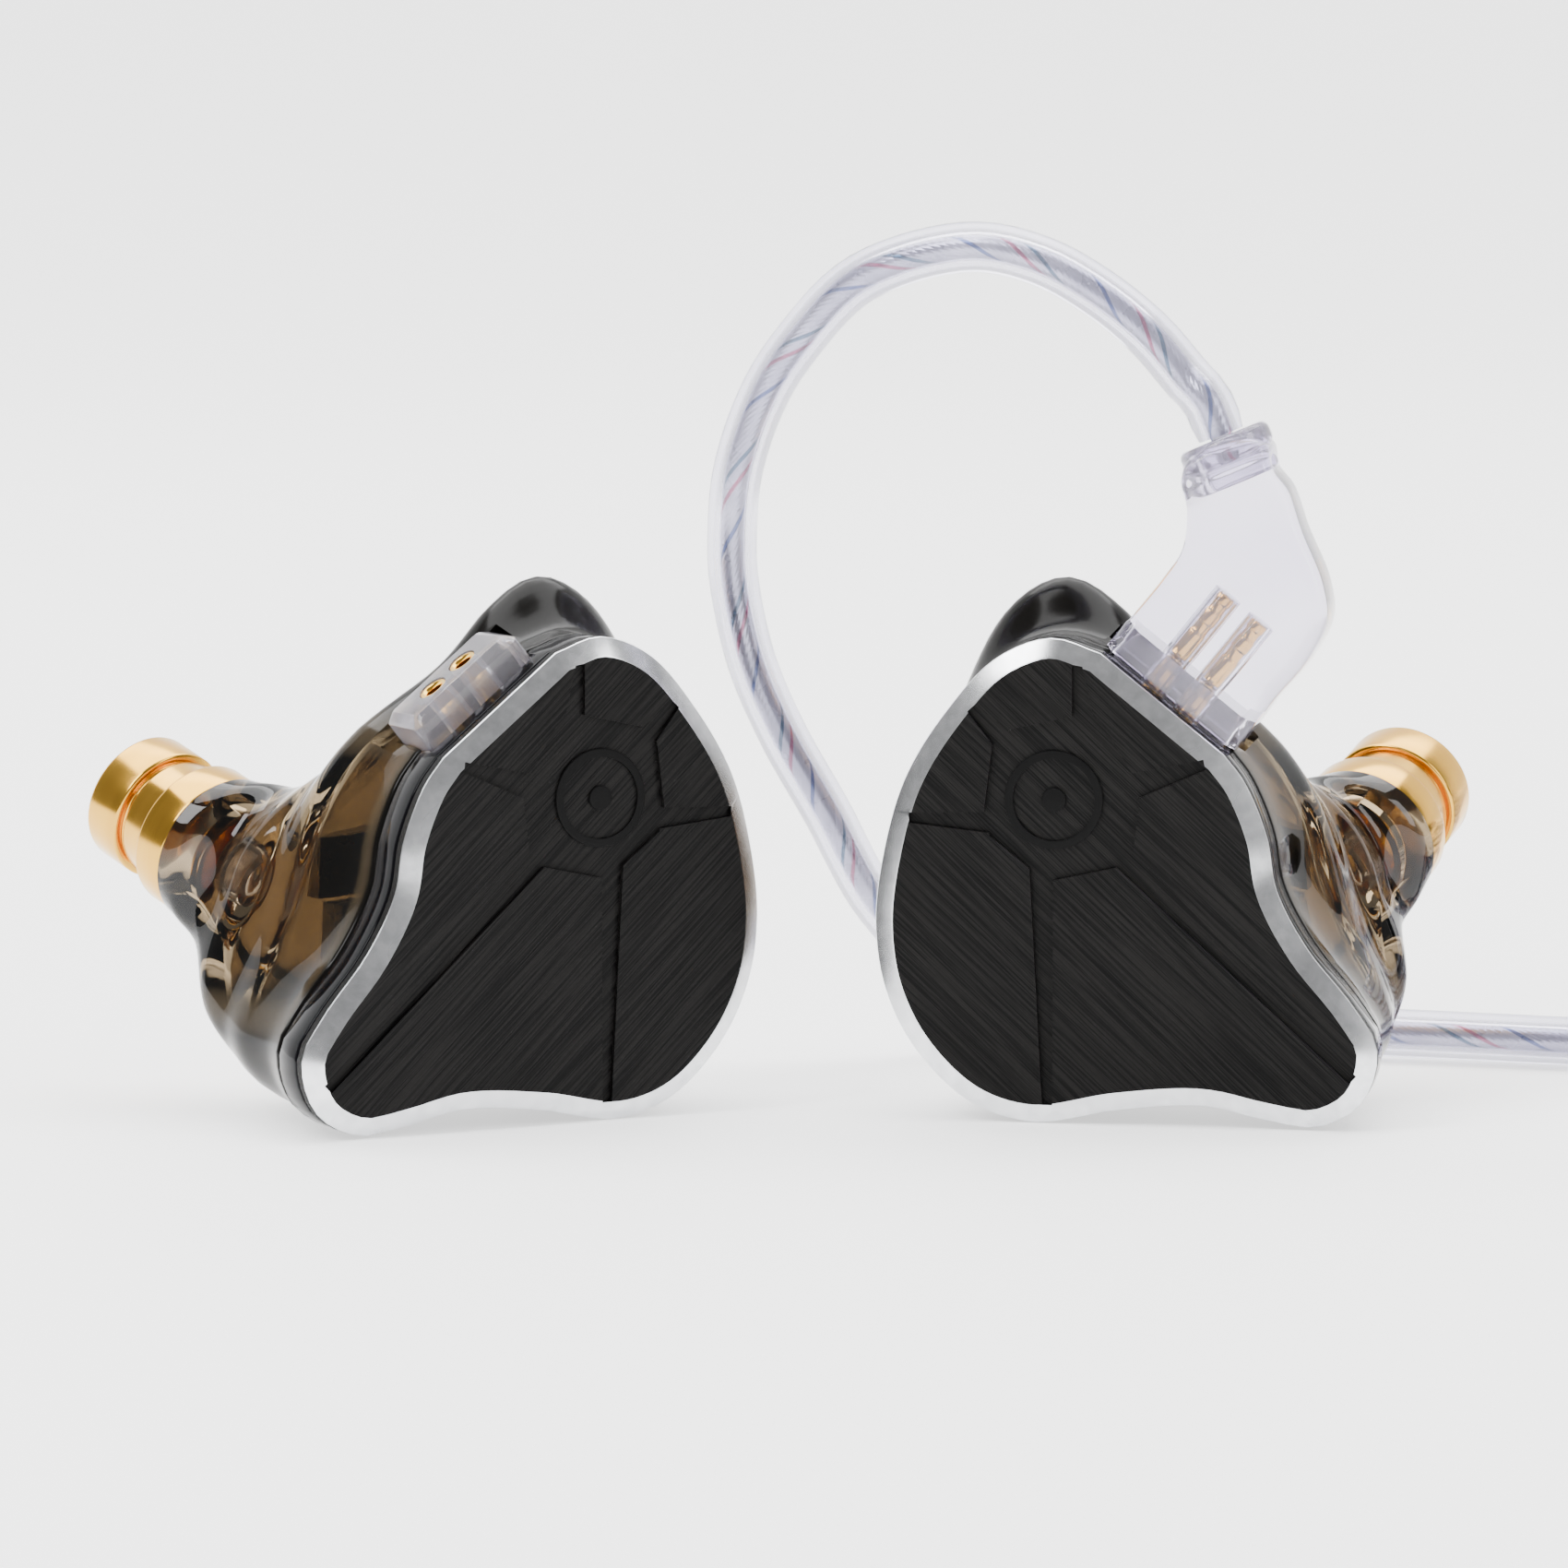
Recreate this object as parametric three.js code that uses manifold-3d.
// A pair of in ear monitors with their detachable cable, in millimetres, +Z up.
// Each earpiece is drawn in its own frame: X runs from the rounded side to the nozzle side,
// Y runs back from the faceplate, Z is up from the surface that the earpiece stands on.
import * as THREE from 'three';
import { mergeVertices } from 'three/addons/utils/BufferGeometryUtils.js';
import Module from 'manifold-3d';

const wasm = await Module();
wasm.setup();

// ---------------------------------------------------------------- driving dimensions
const faceWidth = 24.5;        // faceplate, rounded side to lobe
const faceHeight = 23.7;       // faceplate, bottom to top
const shellDepth = 16.0;       // faceplate front to the nozzle's flange
const faceThickness = 1.3;
const chamfer = 0.9;           // silver chamfer around the faceplate
const chamferDepth = 0.55;
const edgeBreak = 0.15;        // broken edge at the faceplate's back
const seamDepth = 3.6;         // faceplate front to the seam between rim and shell
const wall = 1.3;              // shell and rim wall
const rimInset = 0.05;         // step in from the faceplate to the rim
const neckThickening = 0.9;    // extra wall where the shell narrows to the neck
const gap = 0.1;               // clearance between pieces that meet
const channelDepth = 0.25;     // recessed channels in the faceplate

const nozzleFlange = { radius: 3.75, length: 2.0 };
const nozzleBarrel = { radius: 3.1, length: 1.9 };
const nozzleGroove = { radius: 2.85, length: 0.3 };
const nozzleLip = { radius: 3.35, length: 2.3 };
const nozzleBore = 2.2;
const spigotLength = 1.5;
const spigotWall = 0.5;
const meshRecess = 0.5;
const meshThickness = 0.2;
const meshCrown = 0.12;
const nozzleAxis = new THREE.Vector3(0.26, 0.906, 0.334).normalize();

const pinPitch = 2.0;
const pinRadius = 0.39;
const socketRadius = 0.72;
const socketWall = 0.27;
const blockLength = 6.9;       // along the flat
const blockWidth = 3.7;        // front to back
const blockProud = 1.6;        // above the flat
const blockSunk = 1.5;         // below the flat
const blockFront = 2.5;        // faceplate front to the block's front face
const blockBevel = 0.45;
const blockCorner = 0.5;

const hoodWall = 0.45;
const hoodRoomHeight = 8;      // clear height kept above the flat for the hood
const hoodRoomSlack = 0.5;
const plugThickness = 4.7;
const barrelRadius = 0.65;     // crimp barrel of a plug pin
const pinReach = 1.2;          // pin tip below the flat
const barrelTop = 5.6;         // end of the crimp barrel above the flat

const driverRadius = 4.9;
const driverDepth = 3.4;
const armatureSize = [4.8, 2.4, 3.1];
const boardSize = [6.4, 0.6, 4.2];
const soundTube = { outer: 1.5, inner: 1.0, length: 2.0 };
const tubeGap = 0.3;           // between the sound tube and the nozzle's spigot
const tubeSeatDepth = 0.9;

const sleeveDiameter = 2.5;
const branchDiameter = 1.5;
const mainDiameter = 2.0;
const coil = { x: 65.5, y: 22, inner: 6.8, outer: 16.3, floor: 0.55, top: 11.9 };
const tie = { width: 3.0, thickness: 0.45 };
const splitSize = { radius: 2.1, length: 11 };
// The 3.5 mm plug: its start from the coil's middle, then its pieces.
const jack = { x: -9, y: -5, boot: 8, bootRadius: 2.1, barrel: 11, barrelRadius: 2.8, pin: 1.75 };

const rightYaw = -11;          // degrees, how each earpiece is turned on the surface
const leftYaw = 28;
const rightPlace = [16.3, -9.5];
const leftPlace = [-11.8, -9.5];

// ---------------------------------------------------------------- finishes
const finish = (color, roughness, metalness) =>
  new THREE.MeshStandardMaterial({ color, roughness, metalness });
const blackMetal = finish(0x141414, 0.4, 0.8);
const blackGloss = finish(0x0a0a0a, 0.1, 0.0);
const smoke = finish(0x3a3026, 0.08, 0.0);
const brass = finish(0xc9a044, 0.22, 1.0);
const gold = finish(0xd9a640, 0.2, 1.0);
const clearPlastic = finish(0xdcd8dc, 0.12, 0.0);
const frosted = finish(0xcfcad6, 0.35, 0.0);
const cableSkin = finish(0xd8d8e2, 0.2, 0.0);
const steel = finish(0x8c8f94, 0.35, 0.9);
const copper = finish(0xb87a3a, 0.3, 0.9);
const film = finish(0xd8d0b8, 0.3, 0.1);
const green = finish(0x1f5a30, 0.4, 0.0);
const rubber = finish(0x2a2a2e, 0.55, 0.0);

// ---------------------------------------------------------------- solids
const V = (x, y, z) => new THREE.Vector3(x, y, z);

// Closed geometry from corner positions and triangles, turned to face out.
function closed(positions, triangles) {
  const at = (i) => V().fromArray(positions, 3 * i);
  let volume = 0;
  for (let i = 0; i < triangles.length; i += 3) {
    const [a, b, c] = triangles.slice(i, i + 3).map(at);
    volume += a.dot(b.cross(c));
  }
  const faces = volume < 0 ? [...triangles].reverse() : triangles;
  const geometry = new THREE.BufferGeometry();
  geometry.setAttribute('position', new THREE.Float32BufferAttribute(positions, 3));
  geometry.setIndex(faces);
  return geometry;
}

// Skin over rings of equal length, with a flat cap on the first and the last ring.
function loft(rings) {
  const n = rings[0].length;
  const positions = rings.flat().flatMap((p) => [p.x, p.y, p.z]);
  const triangles = [];
  for (let r = 0; r + 1 < rings.length; r += 1) {
    for (let i = 0; i < n; i += 1) {
      const a = r * n + i;
      const b = r * n + ((i + 1) % n);
      triangles.push(a, b, b + n, a, b + n, a + n);
    }
  }
  const normal = V().copy(rings[0][0]).sub(rings[0][Math.floor(n / 3)])
    .cross(V().copy(rings[0][0]).sub(rings[0][Math.floor((2 * n) / 3)])).normalize();
  const flatten = Math.abs(normal.y) > 0.5 ? (p) => new THREE.Vector2(p.x, p.z)
    : (p) => new THREE.Vector2(p.x, p.y);
  const cap = (ring, offset, turn) => {
    const contour = ring.map(flatten);
    const flip = THREE.ShapeUtils.isClockWise(contour);
    if (flip) contour.reverse();
    const index = (i) => offset + (flip ? n - 1 - i : i);
    THREE.ShapeUtils.triangulateShape(contour, []).forEach(([a, b, c]) => {
      triangles.push(...(turn !== flip ? [index(c), index(b), index(a)] : [index(a), index(b), index(c)]));
    });
  };
  cap(rings[0], 0, true);
  cap(rings[rings.length - 1], (rings.length - 1) * n, false);
  return closed(positions, triangles);
}

function toSolid(geometry) {
  const bare = geometry.clone();
  bare.deleteAttribute('normal');
  bare.deleteAttribute('uv');
  const merged = mergeVertices(bare, 1e-4);
  return new wasm.Manifold(new wasm.Mesh({
    numProp: 3,
    vertProperties: new Float32Array(merged.attributes.position.array),
    triVerts: new Uint32Array(merged.index.array),
  }));
}

function toGeometry(solid) {
  const mesh = solid.getMesh();
  const geometry = new THREE.BufferGeometry();
  geometry.setAttribute('position', new THREE.Float32BufferAttribute(mesh.vertProperties, 3));
  geometry.setIndex([...mesh.triVerts]);
  return geometry;
}

const cut = (body, ...tools) =>
  toGeometry(tools.reduce((solid, tool) => solid.subtract(toSolid(tool)), toSolid(body)));

const join = (body, ...more) =>
  toGeometry(more.reduce((solid, piece) => solid.add(toSolid(piece)), toSolid(body)));

const box = (x, y, z) => new THREE.BoxGeometry(x, y, z);

// Turned piece on the Y axis from [radius, place] corners. A hollow one closes on itself.
function turned(profile, sides = 20) {
  const hollow = profile[0][0] > 0 && profile[profile.length - 1][0] > 0;
  const corners = hollow ? [...profile, profile[0]] : profile;
  return new THREE.LatheGeometry(corners.map(([r, y]) => new THREE.Vector2(r, y)), sides);
}

// ---------------------------------------------------------------- faceplate outline
// Drawn from the flat's upper corner, down the rounded side, along the bottom, round the lobe
// and up the hollow side to the flat's lower corner. The flat closes it.
const drawn = { width: 24.5, height: 23.7, seam: 3.6, depth: 16 };
const across = faceWidth / drawn.width;
const upward = faceHeight / drawn.height;
const depthOf = (y) => seamDepth + (y - drawn.seam) * ((shellDepth - seamDepth) / (drawn.depth - drawn.seam));
const outlineDrawn = [
  [-1.1, 22.9], [-3.5, 23.6], [-6.2, 22.6], [-8.7, 19.9], [-10.7, 16.6], [-11.8, 12.6], [-12.1, 9.4],
  [-11.6, 6.3], [-10.1, 3.4], [-7.4, 0.9], [-4.3, 0], [-0.1, 0.7], [4.0, 1.0], [7.1, 0.4], [9.6, 0.15],
  [11.7, 1.4], [12.4, 4.0], [11.2, 6.1], [9.0, 8.8], [7.5, 11.6], [7.0, 14.2], [5.9, 16.8], [4.9, 18.1],
];
const outlineCurve = new THREE.CatmullRomCurve3(
  outlineDrawn.map(([u, v]) => V(u * across, 0, v * upward)), false, 'centripetal');
const flatTop = outlineCurve.getPoint(0);
const flatBottom = outlineCurve.getPoint(1);
const flatMiddle = flatTop.clone().lerp(flatBottom, 0.5);
const alongFlat = flatBottom.clone().sub(flatTop).normalize();
const awayFromFlat = V(-alongFlat.z, 0, alongFlat.x);

// Frame of the flat: X along the flat, Y back, Z away from the flat.
const flatFrame = new THREE.Matrix4().makeBasis(alongFlat, V(0, 1, 0), awayFromFlat)
  .setPosition(flatMiddle);

// The same outline as a distance from its middle for each angle, with the flat's corners kept.
const middle = V(-1 * across, 0, 10 * upward);
const angleOf = (p) => Math.atan2(p.z - middle.z, p.x - middle.x);
const dense = outlineCurve.getPoints(400);
const startAngle = angleOf(flatTop);
const turnTo = (angle) => {
  const full = 2 * Math.PI;
  return (((angle - startAngle) % full) + full) % full;
};
const flatTurn = turnTo(angleOf(flatBottom));
function outlineRadius(turn) {
  const next = dense.findIndex((p, i) => i > 0 && turnTo(angleOf(p)) >= turn);
  const [p, q] = next > 0 ? [dense[next - 1], dense[next]] : [flatBottom, flatTop];
  const angle = startAngle + turn;
  const ray = V(Math.cos(angle), 0, Math.sin(angle));
  const edge = q.clone().sub(p);
  const from = p.clone().sub(middle);
  return (from.x * edge.z - from.z * edge.x) / (ray.x * edge.z - ray.z * edge.x);
}
const sides = 36;
const flatSides = 5;
const turns = [];
for (let i = 0; i < sides - flatSides; i += 1) turns.push((flatTurn * i) / (sides - flatSides));
for (let i = 0; i < flatSides; i += 1) turns.push(flatTurn + ((2 * Math.PI - flatTurn) * i) / flatSides);
const outlineRadii = turns.map(outlineRadius);

// Ring of points at a depth, moved in by an inset square to its edge.
function insetRing(edge, depth, inset) {
  const n = edge.length;
  return edge.map((p, i) => {
    const before = edge[(i + n - 1) % n];
    const after = edge[(i + 1) % n];
    const along = after.clone().sub(before).normalize();
    return V(p.x - along.z * inset, depth, p.z + along.x * inset);
  });
}
const outline = turns.map((turn, i) => {
  const angle = startAngle + turn;
  return V(middle.x + outlineRadii[i] * Math.cos(angle), 0, middle.z + outlineRadii[i] * Math.sin(angle));
});
const outlineRing = (depth, inset) => insetRing(outline, depth, inset);

// ---------------------------------------------------------------- shell form
// Stations from the seam to the nozzle: depth, centre, reach to each side of the centre, how much
// of the faceplate outline is left, the hump at the top, the lobe at the lower corner, and how far
// the station is turned toward the nozzle.
const stationColumns = ['y', 'x', 'z', 'left', 'right', 'up', 'down', 'face', 'hump', 'lobe', 'turn'];
const stations = [
  [3.6, -1.0, 10.0, 11.0, 12.4, 13.6, 9.6, 1.0, 0, 0, 0],
  [5.6, -1.0, 10.0, 10.9, 12.3, 13.4, 9.4, 0.85, 0.3, 0.2, 0],
  [8.0, -0.8, 10.0, 10.0, 12.2, 12.6, 8.4, 0.55, 3.2, 1.5, 0],
  [10.4, 0.2, 10.0, 9.2, 10.4, 8.9, 7.4, 0.25, 3.5, 2.7, 0.15],
  [12.6, 3.1, 10.5, 8.2, 8.0, 6.6, 6.6, 0.05, 0.9, 2.8, 0.5],
  [14.3, 6.7, 11.3, 5.6, 4.8, 4.6, 5.2, 0, 0, 1.4, 0.85],
  [15.3, 8.95, 11.95, 4.1, 4.2, 4.1, 4.3, 0, 0, 0.3, 1],
  [16.0, 9.8, 12.3, 3.9, 3.9, 3.9, 3.9, 0, 0, 0, 1],
];
const humpAngle = THREE.MathUtils.degToRad(103);
const lobeAngle = THREE.MathUtils.degToRad(-32);
const toNozzle = new THREE.Quaternion().setFromUnitVectors(V(0, 1, 0), nozzleAxis);

const smooth = (a, b, c, d, t) =>
  b + 0.5 * t * (c - a + t * (2 * a - 5 * b + 4 * c - d + t * (3 * (b - c) + d - a)));

function stationAt(place) {
  const last = stations.length - 1;
  const k = Math.min(Math.floor(place), last - 1);
  const pick = (i) => stations[THREE.MathUtils.clamp(i, 0, last)];
  const value = {};
  stationColumns.forEach((name, i) => {
    value[name] = smooth(pick(k - 1)[i], pick(k)[i], pick(k + 1)[i], pick(k + 2)[i], place - k);
  });
  return value;
}

const bell = (angle, centre, widthAfter, widthBefore) => {
  const away = Math.atan2(Math.sin(angle - centre), Math.cos(angle - centre));
  const width = THREE.MathUtils.degToRad(away > 0 ? widthAfter : widthBefore);
  return Math.exp(-((away / width) ** 2));
};

function shellRing(place, inset) {
  const s = stationAt(place);
  const centre = V(s.x * across, depthOf(s.y), s.z * upward);
  const turn = new THREE.Quaternion().slerp(toNozzle, s.turn);
  return turns.map((step, i) => {
    const angle = startAngle + step;
    const c = Math.cos(angle);
    const d = Math.sin(angle);
    const wide = c / ((c > 0 ? s.right : s.left) * across);
    const tall = d / ((d > 0 ? s.up : s.down) * upward);
    const round = 1 / Math.hypot(wide, tall);
    const bumps = s.hump * bell(angle, humpAngle, 24, 15) + s.lobe * bell(angle, lobeAngle, 20, 18);
    const radius = s.face * (outlineRadii[i] - gap) + (1 - s.face) * round + bumps - inset;
    return V(c * radius, 0, d * radius).applyQuaternion(turn).add(centre);
  });
}

const flangeCentre = V(9.8 * across, shellDepth, 12.3 * upward);
const nozzleFrame = new THREE.Matrix4().makeRotationFromQuaternion(toNozzle).setPosition(flangeCentre);

// ---------------------------------------------------------------- earpiece pieces
const landing = flatFrame.clone().multiply(new THREE.Matrix4().makeTranslation(
  0, blockFront + blockWidth / 2, 0));
const blockRoom = () => box(blockLength + 2 * gap, blockWidth + 2 * gap, 2 * blockSunk + 2 * gap)
  .applyMatrix4(landing);

// Room above the flat for the plug's hood.
const hoodRoom = () => box(blockLength + 4 * hoodWall, plugThickness + hoodRoomSlack, hoodRoomHeight)
  .translate(0, 0, (hoodRoomHeight + gap) / 2).applyMatrix4(landing);

// Recesses in the faceplate: the pad, and a tapered channel from each short side of the pad.
const pad = [
  [-1.1, 19.8], [-2.3, 19.9], [-5.4, 19.2], [-6.3, 18.4], [-6.7, 15.1], [-6.4, 14.0],
  [-4.5, 12.5], [-3.3, 11.9], [-0.2, 12.6], [0.6, 13.4], [0.9, 15.9], [0.5, 17.2],
].map(([u, v]) => V(u * across, 0, v * upward));
const padMiddle = V(-3.3 * across, 0, 15.8 * upward);
const channelAims = [[-1.7, 25], [-9.0, 22.0], [-14, 14.3], [-3.6, -2], [14, 0.1], [6.6, 18.3]];
const channelTip = 0.5;        // width of a channel at its outer end
const channelOverlap = 0.6;    // how far a channel starts inside the pad

// Where a line from the pad's middle, out through a point, meets the inner edge of the chamfer.
const flatEdge = outlineRing(0, chamfer);
const crossed = (a, b) => a.x * b.z - a.z * b.x;
function reachFrom(point) {
  const along = point.clone().sub(padMiddle);
  const shares = flatEdge.map((p, i) => {
    const edge = flatEdge[(i + 1) % flatEdge.length].clone().sub(p);
    const from = p.clone().sub(padMiddle);
    const place = crossed(from, along) / crossed(along, edge);
    const share = crossed(from, edge) / crossed(along, edge);
    return place >= 0 && place <= 1 && share > 0 ? share : Infinity;
  });
  return padMiddle.clone().addScaledVector(along, Math.min(...shares));
}
const recesses = [pad, ...channelAims.map(([u, v], i) => {
  const end = reachFrom(V(u * across, 0, v * upward));
  const inward = padMiddle.clone().sub(end).setLength(channelOverlap);
  const toSide = V(-inward.z, 0, inward.x).setLength(channelTip / 2);
  return [pad[2 * i].clone().add(inward), end.clone().add(toSide),
    end.clone().sub(toSide), pad[2 * i + 1].clone().add(inward)];
})];

function makeFaceplate() {
  const plate = loft([
    outlineRing(faceThickness, edgeBreak),
    outlineRing(faceThickness - edgeBreak, 0),
    outlineRing(chamferDepth, 0),
    outlineRing(0, chamfer),
  ]);
  return cut(plate, ...recesses.map((edge) =>
    loft([insetRing(edge, -1, 0), insetRing(edge, channelDepth, 0)])));
}

function makeRim() {
  const outside = loft([outlineRing(faceThickness + gap, rimInset), outlineRing(seamDepth - gap, rimInset)]);
  const inside = loft([outlineRing(0, wall), outlineRing(seamDepth + 1, wall)]);
  return cut(outside, inside, blockRoom(), hoodRoom());
}

function makeShell() {
  const steps = 15;
  const last = stations.length - 1;
  const rings = [];
  for (let i = 0; i <= steps; i += 1) rings.push(shellRing((last * i) / steps, 0));
  const hollow = [outlineRing(seamDepth - 0.5, wall + gap)];
  const innerSteps = 8;
  for (let i = 0; i <= innerSteps; i += 1) {
    const share = i / innerSteps;
    hollow.push(shellRing(0.1 + (last - 2.3) * share, wall + neckThickening * share ** 2));
  }
  const bore = (radius, from, to) => new THREE.CylinderGeometry(radius, radius, to - from, 20)
    .translate(0, (from + to) / 2, 0).applyMatrix4(nozzleFrame);
  const neck = bore(nozzleBore + spigotWall + gap, -spigotLength - gap, 1);
  const tubeSeat = bore(soundTube.outer + gap, -spigotLength - soundTube.length - tubeSeatDepth, 0);
  return cut(loft(rings), loft(hollow), neck, tubeSeat, blockRoom(), hoodRoom());
}

function makeNozzle() {
  const spigot = nozzleBore + spigotWall;
  let place = gap;
  const outside = [[nozzleBore, -spigotLength], [spigot, -spigotLength], [spigot, place]];
  [nozzleFlange, nozzleBarrel, nozzleGroove, nozzleLip].forEach(({ radius, length }) => {
    outside.push([radius, place], [radius, place + length]);
    place += length;
  });
  const seat = nozzleBore + 0.35;
  outside.push([seat, place], [seat, place - meshRecess], [nozzleBore, place - meshRecess]);
  return turned(outside, 24);
}
const nozzleLength = gap + [nozzleFlange, nozzleBarrel, nozzleGroove, nozzleLip]
  .reduce((sum, part) => sum + part.length, 0);

function makeNozzleMesh() {
  const radius = nozzleBore + 0.28;
  const low = nozzleLength - meshRecess + 0.08;
  return turned([[0, low], [radius, low], [radius, low + meshThickness], [0, low + meshThickness + meshCrown]], 20);
}

function makeBlock() {
  const ring = (z, inset) => {
    const x = blockLength / 2 - inset;
    const y = blockWidth / 2 - inset;
    const c = blockCorner;
    return [[x, -y + c], [x, y - c], [x - c, y], [-x + c, y],
      [-x, y - c], [-x, -y + c], [-x + c, -y], [x - c, -y]].map(([a, b]) => V(a, b, z));
  };
  const body = loft([ring(-blockSunk, 0), ring(blockProud - blockBevel, 0), ring(blockProud, blockBevel)]);
  const bores = [-1, 1].map((side) =>
    new THREE.CylinderGeometry(socketRadius + 0.04, socketRadius + 0.04, 9, 16)
      .rotateX(Math.PI / 2).translate((side * pinPitch) / 2, 0, 0));
  return cut(body, ...bores);
}

function makeSocket() {
  const inner = socketRadius - socketWall;
  return turned([[inner, -blockSunk], [socketRadius, -blockSunk], [socketRadius, blockProud - 0.05],
    [inner, blockProud - 0.05]], 14).rotateX(Math.PI / 2);
}

function makeDriverFrame() {
  const step = driverRadius - 0.8;
  return turned([[step - 0.9, 0], [driverRadius, 0], [driverRadius, driverDepth], [step, driverDepth],
    [step, 0.6], [step - 0.9, 0.6]], 24);
}
const makeMagnet = () => turned([[0, 0], [2.8, 0], [3.0, 0.2], [3.0, 1.7], [0, 1.7]], 20);
const makeDiaphragm = () => turned([[0, 2.7], [driverRadius - 0.95, 2.6], [driverRadius - 0.95, 2.85],
  [2.4, 3.2], [0, 3.3]], 20);
const makeSoundTube = () => {
  const start = -spigotLength - tubeGap - soundTube.length;
  const end = start + soundTube.length;
  return turned([[soundTube.inner, start], [soundTube.outer, start], [soundTube.outer, end],
    [soundTube.inner, end]], 14);
};

// ---------------------------------------------------------------- plug
// Side profile of the plug in the flat's frame: the hood, the elbow and the collar.
const plugProfile = [
  [-3.95, 2.1], [-3.95, 4.6], [-4.1, 6.1], [-5.2, 7.8], [-6.2, 8.6], [-6.6, 9.8], [-5.2, 12.2],
  [-4.1, 12.6], [-3.2, 11.9], [-2.0, 11.6], [-0.2, 10.5], [2.2, 9.2], [3.5, 7.9], [4.0, 5.8], [3.95, 3.4],
];
const collarAxis = V(-0.88, 0, 0.475).normalize();
const collarEnd = V(-6.05, 0, 11.3);
const hoodHalf = blockLength / 2 + gap + hoodWall;

function makePlugHousing() {
  const curve = new THREE.CatmullRomCurve3(plugProfile.map(([x, z]) => V(x, 0, z)), false, 'centripetal');
  const edge = [V(-hoodHalf, 0, 0.15), ...curve.getPoints(26), V(hoodHalf, 0, 0.15)].reverse();
  const half = plugThickness / 2;
  const body = loft([
    insetRing(edge, -half, 0.8), insetRing(edge, -half + 0.3, 0.25), insetRing(edge, -half + 0.9, 0),
    insetRing(edge, half - 0.9, 0), insetRing(edge, half - 0.3, 0.25), insetRing(edge, half, 0.8),
  ]);
  const skirt = box(2 * hoodHalf, plugThickness, 1.7).translate(0, 0, 1.0);
  const pocket = box(blockLength + 2 * gap, blockWidth + 2 * gap, 2 * (blockProud + gap));
  const bores = [-1, 1].flatMap((side) => [
    new THREE.CylinderGeometry(barrelRadius + 0.08, barrelRadius + 0.08, barrelTop + 0.1, 14)
      .rotateX(Math.PI / 2).translate((side * pinPitch) / 2, 0, (barrelTop + 0.1) / 2),
  ]);
  return cut(join(body, skirt), pocket, ...bores);
}

function makePin() {
  const step = blockProud + 0.25;
  return turned([[0, -pinReach], [pinRadius * 0.5, -pinReach], [pinRadius, -pinReach + 0.35],
    [pinRadius, step], [barrelRadius, step], [barrelRadius, barrelTop], [0, barrelTop]], 12)
    .rotateX(Math.PI / 2);
}

// ---------------------------------------------------------------- cord
// Tube along chosen points, with one step for about every two or three diameters.
function tube(points, diameter, stepLength) {
  const curve = new THREE.CatmullRomCurve3(points, false, 'centripetal');
  const section = new THREE.Shape();
  for (let i = 0; i < 8; i += 1) {
    const angle = (Math.PI / 4) * (i + 0.5);
    const x = (diameter / 2) * Math.cos(angle);
    const y = (diameter / 2) * Math.sin(angle);
    if (i === 0) section.moveTo(x, y);
    else section.lineTo(x, y);
  }
  const steps = Math.max(2, Math.round(curve.getLength() / stepLength));
  return new THREE.ExtrudeGeometry(section, { steps, extrudePath: curve });
}

// Points of an arc about the coil's middle. A radius or a height may change along it.
const arc = (radii, from, to, heights, count) => {
  const radius = [radii].flat();
  const height = [heights].flat();
  if (radius.length < 2) radius.push(radius[0]);
  if (height.length < 2) height.push(height[0]);
  const points = [];
  for (let i = 0; i <= count; i += 1) {
    const share = i / count;
    const angle = THREE.MathUtils.degToRad(from + (to - from) * share);
    const r = radius[0] + (radius[1] - radius[0]) * share;
    const z = height[0] + (height[1] - height[0]) * share;
    points.push(V(coil.x + r * Math.cos(angle), coil.y + r * Math.sin(angle), z));
  }
  return points;
};

const cordRest = branchDiameter / 2 + 0.02;
const mainRest = mainDiameter / 2 + 0.02;
const besideCoil = 0.3;        // clearance between the coil and a cable beside it
const flatShare = Math.cos(Math.PI / 8);   // an eight-sided tube's width from flat to flat
const clear = coil.outer + branchDiameter / 2 + besideCoil;
const mainClear = coil.outer + (mainDiameter / 2) * flatShare + besideCoil;
const secondLayer = coil.floor + 1.5 * branchDiameter;
const hookLeftPoints = [[38.4, 11.5], [34.5, 17.5], [28, 21.5], [20, 23.5], [11.5, 23.3]];
const mainLoopPoints = [[27.5, -14.2], [30.4, -11.6], [30.8, -6], [28, 0.5], [23, 7], [17.4, 11.3]];

// ---------------------------------------------------------------- assembly
const monitors = new THREE.Group();

function put(parent, name, geometry, material, place) {
  const mesh = new THREE.Mesh(geometry, material);
  mesh.name = name;
  if (place) mesh.applyMatrix4(place);
  parent.add(mesh);
  return mesh;
}

const shift = (frame, x, y, z) => frame.clone().multiply(new THREE.Matrix4().makeTranslation(x, y, z));
const spot = (x, y, z) => new THREE.Matrix4().makeTranslation(x * across, depthOf(y), z * upward);
const driverSpot = spot(-3.2, 4.5, 11.4);

// A box inside the shell is placed by its side toward the lobe, so it stays beside the wall.
const besideWall = (size, x, y, z) => spot(x, y, z)
  .multiply(new THREE.Matrix4().makeTranslation((size[0] / 2) * (across - 1), 0, 0));

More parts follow.
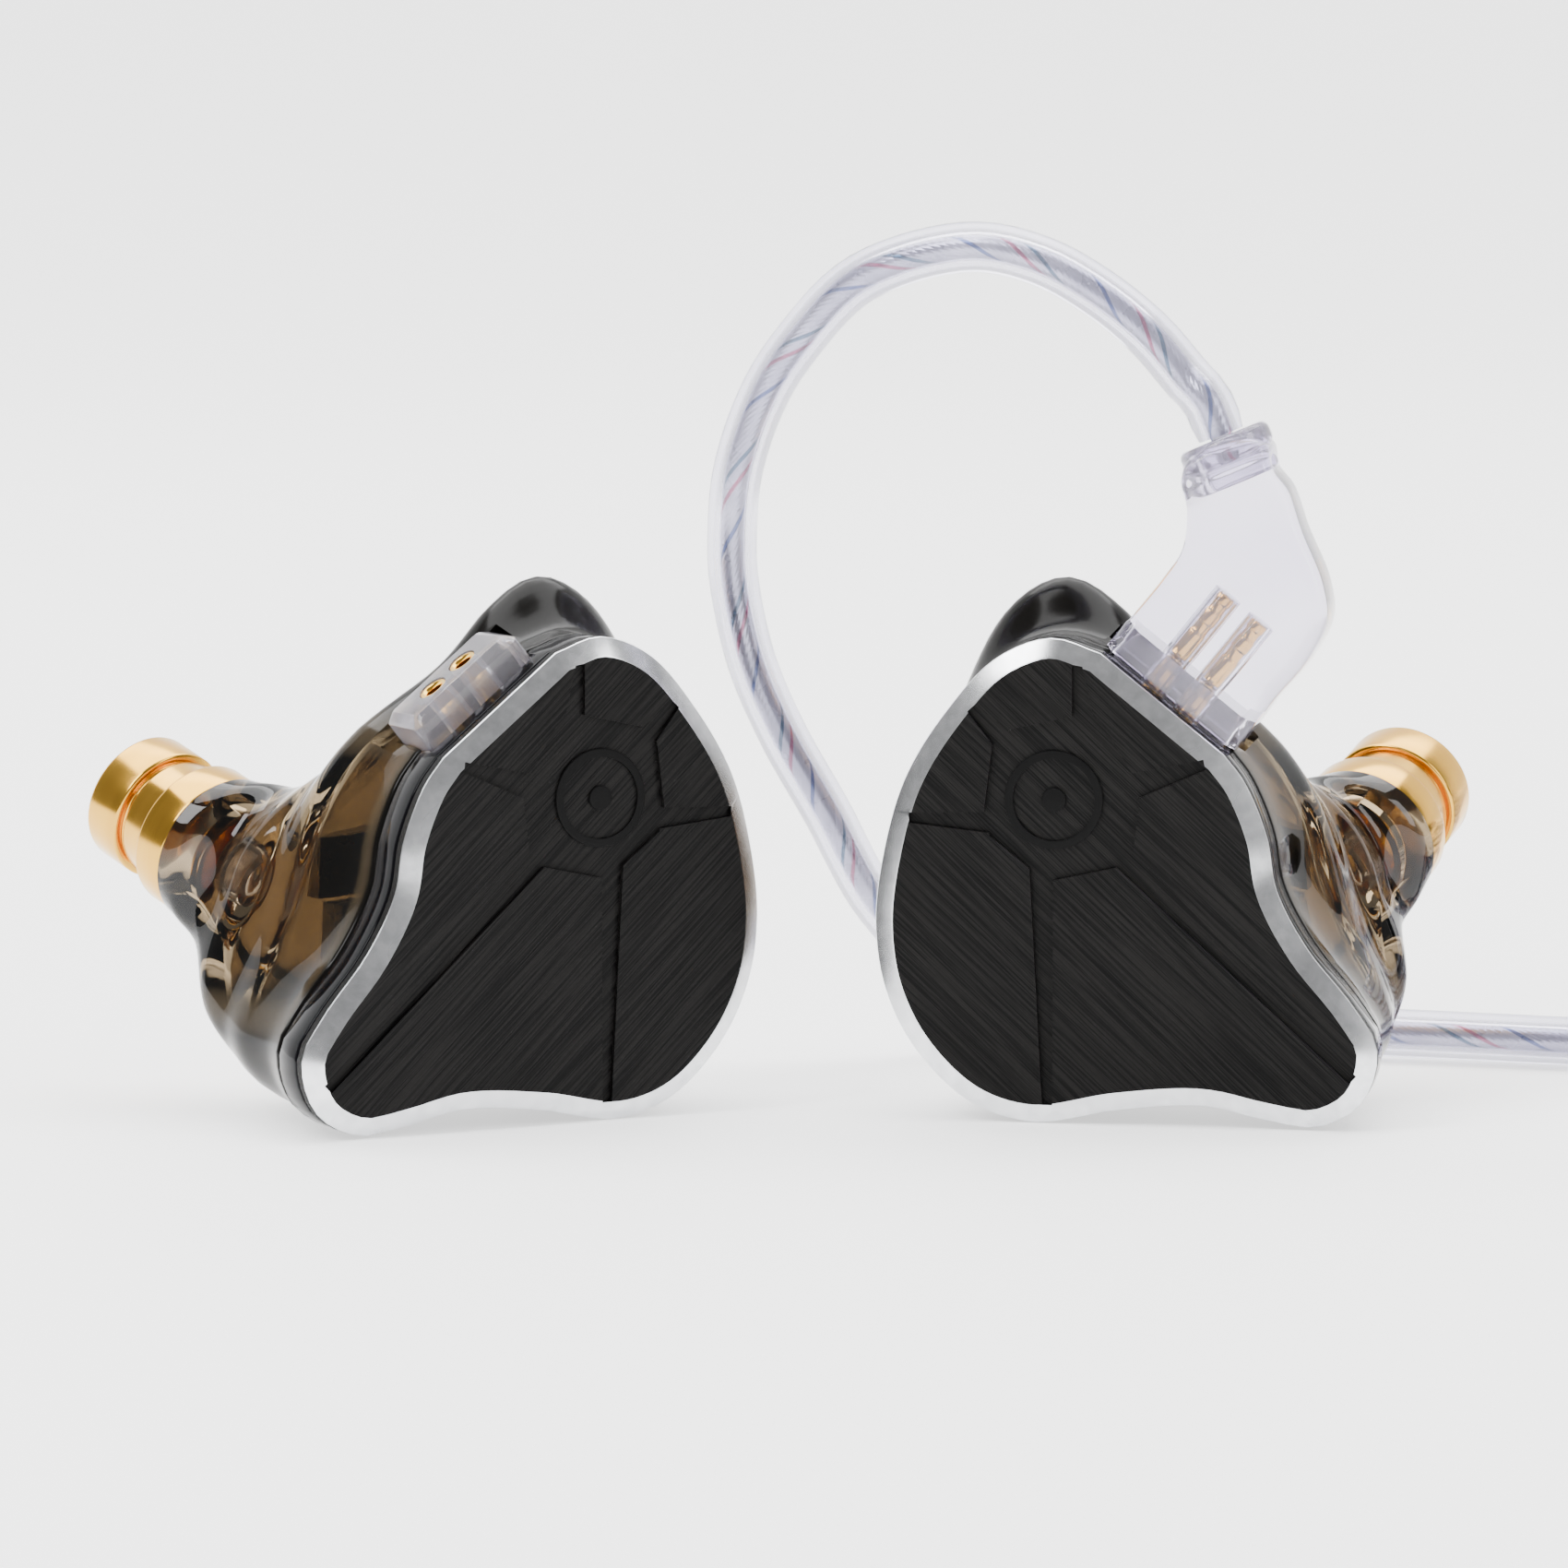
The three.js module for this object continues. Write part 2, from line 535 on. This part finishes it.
function addEarpiece(side, place, yaw, mirrored) {
  const piece = new THREE.Group();
  piece.position.set(place[0], place[1], 0);
  piece.rotation.z = THREE.MathUtils.degToRad(yaw);
  if (mirrored) piece.scale.x = -1;
  put(piece, `faceplate_${side}`, makeFaceplate(), blackMetal);
  put(piece, `shell_rim_${side}`, makeRim(), blackGloss);
  put(piece, `shell_body_${side}`, makeShell(), smoke);
  put(piece, `nozzle_${side}`, makeNozzle(), brass, nozzleFrame);
  put(piece, `nozzle_mesh_${side}`, makeNozzleMesh(), steel, nozzleFrame);
  put(piece, `socket_block_${side}`, makeBlock(), clearPlastic, landing);
  put(piece, `socket_a_${side}`, makeSocket(), gold, shift(landing, -pinPitch / 2, 0, 0));
  put(piece, `socket_b_${side}`, makeSocket(), gold, shift(landing, pinPitch / 2, 0, 0));
  put(piece, `driver_frame_${side}`, makeDriverFrame(), steel, driverSpot);
  put(piece, `driver_magnet_${side}`, makeMagnet(), copper, driverSpot);
  put(piece, `driver_diaphragm_${side}`, makeDiaphragm(), film, driverSpot);
  put(piece, `armature_a_${side}`, box(...armatureSize), steel, besideWall(armatureSize, 4.9, 7.4, 8.8));
  put(piece, `armature_b_${side}`, box(...armatureSize), steel, besideWall(armatureSize, 5.0, 10.2, 12.0));
  put(piece, `crossover_board_${side}`, box(...boardSize), green, besideWall(boardSize, 5.6, 5.2, 5.3));
  put(piece, `sound_tube_${side}`, makeSoundTube(), clearPlastic, nozzleFrame);
  monitors.add(piece);
  return piece;
}
const right = addEarpiece('right', rightPlace, rightYaw, false);
const left = addEarpiece('left', leftPlace, leftYaw, true);

// The pair stands on the surface, centred on the origin.
const pairBox = new THREE.Box3().setFromObject(monitors, true);
const pairCentre = pairBox.getCenter(V());
[right, left].forEach((piece) => {
  piece.position.x -= pairCentre.x;
  piece.position.y -= pairCentre.y;
  piece.position.z -= pairBox.min.z;
});

// A plug's frame is the landing that it seats on.
function addPlug(side, parent, frame) {
  put(parent, `plug_housing_${side}`, makePlugHousing(), frosted, frame);
  put(parent, `plug_pin_a_${side}`, makePin(), gold, shift(frame, -pinPitch / 2, 0, 0));
  put(parent, `plug_pin_b_${side}`, makePin(), gold, shift(frame, pinPitch / 2, 0, 0));
}
addPlug('right', right, landing);

right.updateMatrixWorld(true);
const rightCollar = collarEnd.clone().applyMatrix4(landing).applyMatrix4(right.matrixWorld);
const rightAim = collarAxis.clone().transformDirection(landing).transformDirection(right.matrixWorld);

// The right branch: up from the collar, over the ear, down behind the earpiece, along the surface.
const hookRightPoints = [
  [19.6, -3.6, 35.9], [17.7, -2.9, 38.1], [15.2, -2, 40.1], [12.4, -0.9, 41.6], [9.0, 0.4, 42.2],
  [3.8, 2.6, 40.6], [0.7, 4.5, 37.4], [-1.0, 5.5, 34.7], [-2.3, 6, 30.9], [-2.6, 6.5, 27.2],
  [-2.5, 7, 25.3], [-1.7, 8, 21.4],
  [-0.1, 10, 17.4], [2.1, 12, 13.3], [5.0, 14.5, 7.9], [9.5, 16.8, 3.6], [16, 17.2, 1.9], [24, 16.2, 1.5],
  [32, 14.5, 1.4], [42.6, 11.4, 1.3],
].map(([x, y, z]) => V(x, y, z));
put(monitors, 'ear_hook_right', tube([
  rightCollar.clone().addScaledVector(rightAim, 2 * gap),
  rightCollar.clone().addScaledVector(rightAim, 2),
  ...hookRightPoints,
], sleeveDiameter, 4.5), cableSkin);
put(monitors, 'cable_right', tube([
  V(42.9, 11.3, 1.2), V(46, 10.0, 0.9), V(50, 6.8, cordRest), ...arc([21.5, clear], 238, 285, cordRest, 4),
], branchDiameter, 4), cableSkin);

// The left branch: its plug lies flat beside the coil, and its hook lies round the coil.
const leftPlugTurn = THREE.MathUtils.degToRad(-40);
const leftPlugFrame = new THREE.Matrix4().makeRotationZ(leftPlugTurn)
  .multiply(new THREE.Matrix4().makeBasis(V(1, 0, 0), V(0, 0, -1), V(0, 1, 0)))
  .setPosition(coil.x + 36, coil.y - 7, plugThickness / 2 + 0.05);
addPlug('left', monitors, leftPlugFrame);
const leftCollar = collarEnd.clone().applyMatrix4(leftPlugFrame);
const leftAim = collarAxis.clone().transformDirection(leftPlugFrame);
const sleeveRest = sleeveDiameter / 2 + 0.02;
put(monitors, 'ear_hook_left', tube([
  leftCollar.clone().addScaledVector(leftAim, 2 * gap),
  leftCollar.clone().addScaledVector(leftAim, 2),
  ...hookLeftPoints.map(([x, y]) => V(coil.x + x, coil.y + y, sleeveRest)),
  ...arc([22, 21], 80, 178, sleeveRest, 6),
], sleeveDiameter, 5), cableSkin);
put(monitors, 'cable_left', tube(arc([21, clear], 179, 258, cordRest, 6), branchDiameter, 4.5), cableSkin);

// Both branches leave the coil side by side and meet in the split.
const splitPlace = V(coil.x + 14, coil.y - 14.4, splitSize.radius + 0.05);
const branchPitch = branchDiameter + 0.05;
[['right', branchPitch / 2], ['left', -branchPitch / 2]].forEach(([side, offset]) => {
  const y = splitPlace.y + offset;
  const reach = Math.sqrt(clear ** 2 - (coil.y - y) ** 2);
  put(monitors, `branch_tail_${side}`, tube([
    V(coil.x + reach, y, secondLayer),
    V((coil.x + reach + splitPlace.x) / 2, y, (secondLayer + splitPlace.z) / 2),
    V(splitPlace.x - 3 * gap, y, splitPlace.z),
  ], branchDiameter, 3), cableSkin);
});
const { radius: splitRadius, length: splitLength } = splitSize;
const splitProfile = [
  [0, 0], [splitRadius - 0.3, 0], [splitRadius, 0.4], [splitRadius, splitLength - 3],
  [mainDiameter / 2 + 0.4, splitLength], [0, splitLength],
];
put(monitors, 'y_split', turned(splitProfile, 18).rotateZ(-Math.PI / 2), rubber,
  new THREE.Matrix4().setPosition(splitPlace));
put(monitors, 'main_head', tube([
  V(splitPlace.x + splitLength + 3 * gap, splitPlace.y, mainRest + 0.4),
  ...mainLoopPoints.map(([x, y]) => V(coil.x + x, coil.y + y, mainRest)),
  ...arc([20, mainClear], 48, 64, [mainRest, mainRest + 1.4], 2),
], mainDiameter, 5), cableSkin);

// The coil, its tie, and the plug that lies across it.
const coilProfile = [
  [coil.inner, coil.floor], [coil.outer, coil.floor], [coil.outer, coil.top], [coil.inner, coil.top],
];
put(monitors, 'cable_coil', turned(coilProfile, 32).rotateX(Math.PI / 2), cableSkin,
  new THREE.Matrix4().setPosition(coil.x, coil.y, 0));

function makeTie() {
  const inner = Math.sqrt(coil.inner ** 2 - (tie.width / 2) ** 2) - gap;
  const outer = coil.outer + gap;
  const low = coil.floor - gap / 2;
  const high = coil.top + gap;
  const t = tie.thickness;
  const frame = box(outer - inner + 2 * t, tie.width, high - low + 2 * t);
  const room = box(outer - inner, 2 * tie.width, high - low);
  return cut(frame, room).translate((inner + outer) / 2, 0, (low + high) / 2);
}
put(monitors, 'coil_tie', makeTie(), rubber, new THREE.Matrix4().setPosition(coil.x, coil.y, 0));

const jackRest = coil.top + 0.2 + jack.barrelRadius;
const jackFrame = new THREE.Matrix4().makeRotationZ(-Math.PI / 2)
  .setPosition(coil.x + jack.x, coil.y + jack.y, jackRest);
const topRest = coil.top + 0.2 + mainDiameter / 2;
const turnRadius = -jack.y;
const intoJack = [];
for (let i = 1; i <= 4; i += 1) {
  const angle = Math.PI + (Math.PI / 2) * (i / 4);
  intoJack.push(V(coil.x + jack.x - 1.5 + turnRadius * Math.cos(angle), coil.y + turnRadius * Math.sin(angle),
    THREE.MathUtils.lerp(topRest, jackRest, THREE.MathUtils.smoothstep(i, 0, 4))));
}
intoJack.push(V(coil.x + jack.x - 3 * gap, coil.y + jack.y, jackRest));
put(monitors, 'main_end', tube([
  ...arc([14.8, turnRadius - jack.x + 1.5], 112, 176, topRest, 4), ...intoJack,
], mainDiameter, 4.5), cableSkin);

// Pieces of the plug in order from the cable: radius at each end and length.
const jackPieces = [
  ['jack_boot', jack.bootRadius - 0.7, jack.bootRadius, jack.boot, rubber],
  ['jack_barrel', jack.barrelRadius, jack.barrelRadius, jack.barrel, blackMetal],
  ['jack_sleeve', jack.pin, jack.pin, 6.0, gold],
  ['jack_insulator_a', jack.pin - 0.15, jack.pin - 0.15, 0.7, rubber],
  ['jack_ring', jack.pin, jack.pin, 2.2, gold],
  ['jack_insulator_b', jack.pin - 0.15, jack.pin - 0.15, 0.7, rubber],
];
let jackPlace = 0;
jackPieces.forEach(([name, near, far, length, material]) => {
  put(monitors, name, turned([[0, 0], [near, 0], [far, length], [0, length]], 18), material,
    shift(jackFrame, 0, jackPlace, 0));
  jackPlace += length + 0.05;
});
put(monitors, 'jack_tip', turned([[0, 0], [jack.pin * 0.9, 0], [jack.pin * 0.68, 1.2], [jack.pin, 2.3],
  [jack.pin * 0.55, 3.6], [0, 4.0]], 18), gold, shift(jackFrame, 0, jackPlace, 0));

export default monitors;
